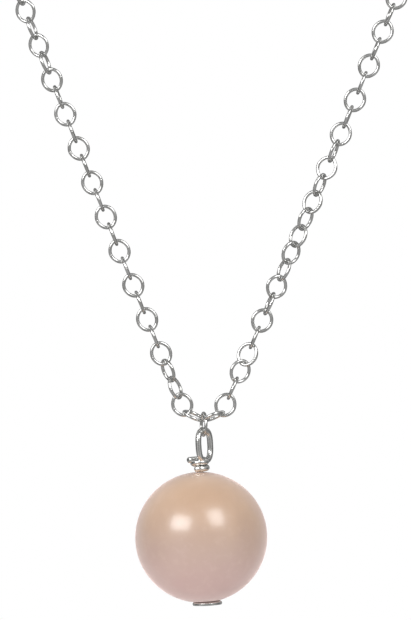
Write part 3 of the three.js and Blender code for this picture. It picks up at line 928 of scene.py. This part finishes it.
def flat_ring(name, material, node, wire_diameter, seam_at, gap):
    """A ring of wire in the XY plane, as wide as its CAD ring. It is open by the gap, or else soldered."""
    low, high = (np.array(corner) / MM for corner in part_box(node))
    centre = (low + high) / 2
    radius = (high[0] - low[0] - wire_diameter) / 2
    reach = math.asin(gap / 2 / radius)
    if gap:
        turns = np.linspace(seam_at + reach, seam_at + 2 * math.pi - reach, RING_STATIONS)
    else:
        turns = np.linspace(0, 2 * math.pi, RING_STATIONS, endpoint=False)
    ring = [centre + radius * np.array([math.cos(a), math.sin(a), 0]) for a in turns]
    radii = np.full(len(ring), wire_diameter / 2)
    if not gap:
        away = np.angle(np.exp(1j * (turns - seam_at)))
        radii = radii * (1 + SOLDER_SWELL * np.exp(-((away / SOLDER_REACH) ** 2)))
    shell = Shell().add(*tube(ring, radii, 20, closed=not gap, across=(0, 0, 1)))
    shell.piece(name, material, "neck_chain", "silver", node)


flat_ring("clasp_jump_ring_wire", pin_silver, "clasp_jump_ring", JUMP_RING_WIRE, math.radians(70), 0.05)
flat_ring("end_ring_wire", pin_silver, "end_ring", END_RING_WIRE, math.radians(-50), 0.0)

# ---------------------------------------------------------------- floor, light and camera

FLOOR = -205.0
SHEET_HALF_WIDTH = 900.0
SHEET_FRONT = -700.0
SHEET_BEND_START = 250.0
SHEET_BEND_RADIUS = 150.0
SHEET_TOP = 700.0
SHEET_GLOW = 0.75
ROOM_RADIUS = 3200.0
ROOM_COVE = 600.0
ROOM_TOP = 3000.0
ROOM_SIDES = 96


def staged(name, vertices, faces, material):
    """A mesh (mm) that belongs to the studio and isn't part of the necklace."""
    mesh = bpy.data.meshes.new(name)
    mesh.from_pydata([[value * MM for value in vertex] for vertex in vertices], [], faces)
    mesh.shade_smooth()
    mesh.materials.append(material)
    stage = bpy.data.objects.new(name, mesh)
    bpy.context.scene.collection.objects.link(stage)
    return stage


def backdrop():
    """A pale sheet that lies under the necklace and curves up behind it."""
    n = Nodes("backdrop_paper")
    grain = n.noise(300.0, detail=4.0)
    paper = n.ramp(grain, [(0.3, (0.86, 0.86, 0.86)), (0.7, (0.90, 0.90, 0.90))])
    n.link(paper, n.shader.inputs["Base Color"])
    n.set(Roughness=0.9, Emission_Color=(1, 1, 1, 1), Emission_Strength=SHEET_GLOW)
    outline = [(SHEET_FRONT, FLOOR), (SHEET_BEND_START, FLOOR)]
    for angle in np.linspace(0, math.pi / 2, 24):
        outline.append((
            SHEET_BEND_START + SHEET_BEND_RADIUS * math.sin(angle),
            FLOOR + SHEET_BEND_RADIUS * (1 - math.cos(angle)),
        ))
    outline.append((SHEET_BEND_START + SHEET_BEND_RADIUS, SHEET_TOP))
    vertices = [(x, y, z) for y, z in outline for x in (-SHEET_HALF_WIDTH, SHEET_HALF_WIDTH)]
    faces = [(2 * i, 2 * i + 1, 2 * i + 3, 2 * i + 2) for i in range(len(outline) - 1)]
    sheet = staged("backdrop", vertices, faces, n.material)
    # It lights the necklace from behind and below. The silver shows the studio and the camera sees the room.
    sheet.visible_glossy = False
    sheet.visible_camera = False


def room():
    """The pale floor and the round wall that it curves up into: the background, which lights nothing."""
    n = Nodes("room_paint")
    n.set(Roughness=0.9, Base_Color=(0, 0, 0, 1), Specular_IOR_Level=0)
    n.set(Emission_Color=(1, 1, 1, 1), Emission_Strength=1.0)
    profile = [(ROOM_RADIUS / 2, FLOOR)]
    for angle in np.linspace(0, math.pi / 2, 12):
        profile.append((
            ROOM_RADIUS - ROOM_COVE * (1 - math.sin(angle)),
            FLOOR + ROOM_COVE * (1 - math.cos(angle)),
        ))
    profile.append((ROOM_RADIUS, ROOM_TOP))
    turns = np.linspace(0, 2 * math.pi, ROOM_SIDES, endpoint=False)
    vertices = [(0.0, 0.0, FLOOR)]
    for radius, height in profile:
        vertices += [(radius * math.cos(t), radius * math.sin(t), height) for t in turns]
    faces = [(0, 1 + i, 1 + (i + 1) % ROOM_SIDES) for i in range(ROOM_SIDES)]
    faces += [tuple(1 + i for i in face) for face in grid_faces(len(profile), ROOM_SIDES)]
    shell = staged("room", vertices, faces, n.material)
    shell.visible_diffuse = False
    shell.visible_glossy = False
    shell.visible_transmission = False
    shell.visible_shadow = False


SOFTBOX_DISTANCE = 500.0
# Direction from the pearl, width and height, and power.
SOFTBOXES = {
    "softbox_left": ((-0.569, -0.69, 0.445), (290, 200), 1.05),
    "softbox_right": ((0.405, -0.68, 0.611), (210, 250), 0.8),
}


def softbox(name, direction, size, power, target):
    """A soft lamp that faces the target."""
    data = bpy.data.lights.new(name, "AREA")
    data.shape = "RECTANGLE"
    data.size, data.size_y = size[0] * MM, size[1] * MM
    data.energy = power
    light = bpy.data.objects.new(name, data)
    direction = Vector(direction).normalized()
    light.location = Vector(target) * MM + direction * SOFTBOX_DISTANCE * MM
    light.rotation_mode = "QUATERNION"
    light.rotation_quaternion = direction.to_track_quat("Z", "Y")
    bpy.context.scene.collection.objects.link(light)


# Brightness of the world by direction: -1 is left, the camera's side or straight down, and 1 is right, behind
# or straight up. The three are added.
STUDIO_ACROSS = [
    (-1.0, 0.02), (-0.62, 0.30), (-0.38, 0.02), (0.05, 0.10), (0.35, 0.02), (0.66, 0.26), (1.0, 0.04),
]
STUDIO_DEPTH = [(-1.0, 0.20), (-0.75, 0.28), (-0.3, 0.15), (0.3, 0.05), (1.0, 0.06)]
STUDIO_HEIGHT = [(-1.0, 0.10), (-0.45, 0.03), (0.1, 0.02), (0.55, 0.16), (1.0, 0.05)]


def studio():
    """The world, which the silver shows: pale to the left and right, behind the camera and overhead."""
    world = bpy.data.worlds.new("studio")
    world.use_nodes = True
    bpy.context.scene.world = world
    tree = world.node_tree
    place = tree.nodes.new("ShaderNodeTexCoord")
    parts = tree.nodes.new("ShaderNodeSeparateXYZ")
    tree.links.new(place.outputs["Generated"], parts.inputs["Vector"])
    shades = []
    for axis, stops in (("X", STUDIO_ACROSS), ("Y", STUDIO_DEPTH), ("Z", STUDIO_HEIGHT)):
        spread = tree.nodes.new("ShaderNodeMapRange")
        spread.inputs["From Min"].default_value = -1.0
        tree.links.new(parts.outputs[axis], spread.inputs["Value"])
        ramp = tree.nodes.new("ShaderNodeValToRGB")
        elements = ramp.color_ramp.elements
        while len(elements) < len(stops):
            elements.new(0.5)
        for element, (position, shade) in zip(elements, stops):
            element.position = (position + 1) / 2
            element.color = (shade, shade, shade, 1.0)
        tree.links.new(spread.outputs["Result"], ramp.inputs["Fac"])
        shades.append(ramp.outputs["Color"])
    total = shades[0]
    for shade in shades[1:]:
        added = tree.nodes.new("ShaderNodeMix")
        added.data_type = "RGBA"
        added.blend_type = "ADD"
        added.inputs[MIX_FACTOR].default_value = 1.0
        tree.links.new(total, added.inputs[MIX_FIRST])
        tree.links.new(shade, added.inputs[MIX_SECOND])
        total = added.outputs[MIX_RESULT]
    tree.links.new(total, tree.nodes["Background"].inputs["Color"])


pearl_centre = (pearl_low + pearl_high) / 2 / MM
backdrop()
room()
for lamp_name, lamp in SOFTBOXES.items():
    softbox(lamp_name, *lamp, pearl_centre)
studio()

# The height that the picture shows at the necklace.
SHOWN_HEIGHT = 56.9
CAMERA_DISTANCE = 420.0
CAMERA_AIM = (0.07, -3.0, -126.47)
CAMERA_ROLL = math.radians(0.55)
# The long side of the camera's sensor.
SENSOR = 36
camera_data = bpy.data.cameras.new("camera")
camera_data.sensor_width = SENSOR
camera_data.lens = SENSOR * CAMERA_DISTANCE / SHOWN_HEIGHT
camera_data.clip_start, camera_data.clip_end = 0.01, 10
camera = bpy.data.objects.new("camera", camera_data)
camera.location = Vector(CAMERA_AIM) * MM + Vector((0, -CAMERA_DISTANCE, 0)) * MM
camera.rotation_mode = "QUATERNION"
upright = Vector((0, 1, 0)).to_track_quat("-Z", "Y")
camera.rotation_quaternion = Matrix.Rotation(-CAMERA_ROLL, 4, "Y").to_quaternion() @ upright
bpy.context.scene.collection.objects.link(camera)
bpy.context.scene.camera = camera
bpy.context.scene.view_settings.view_transform = "Standard"
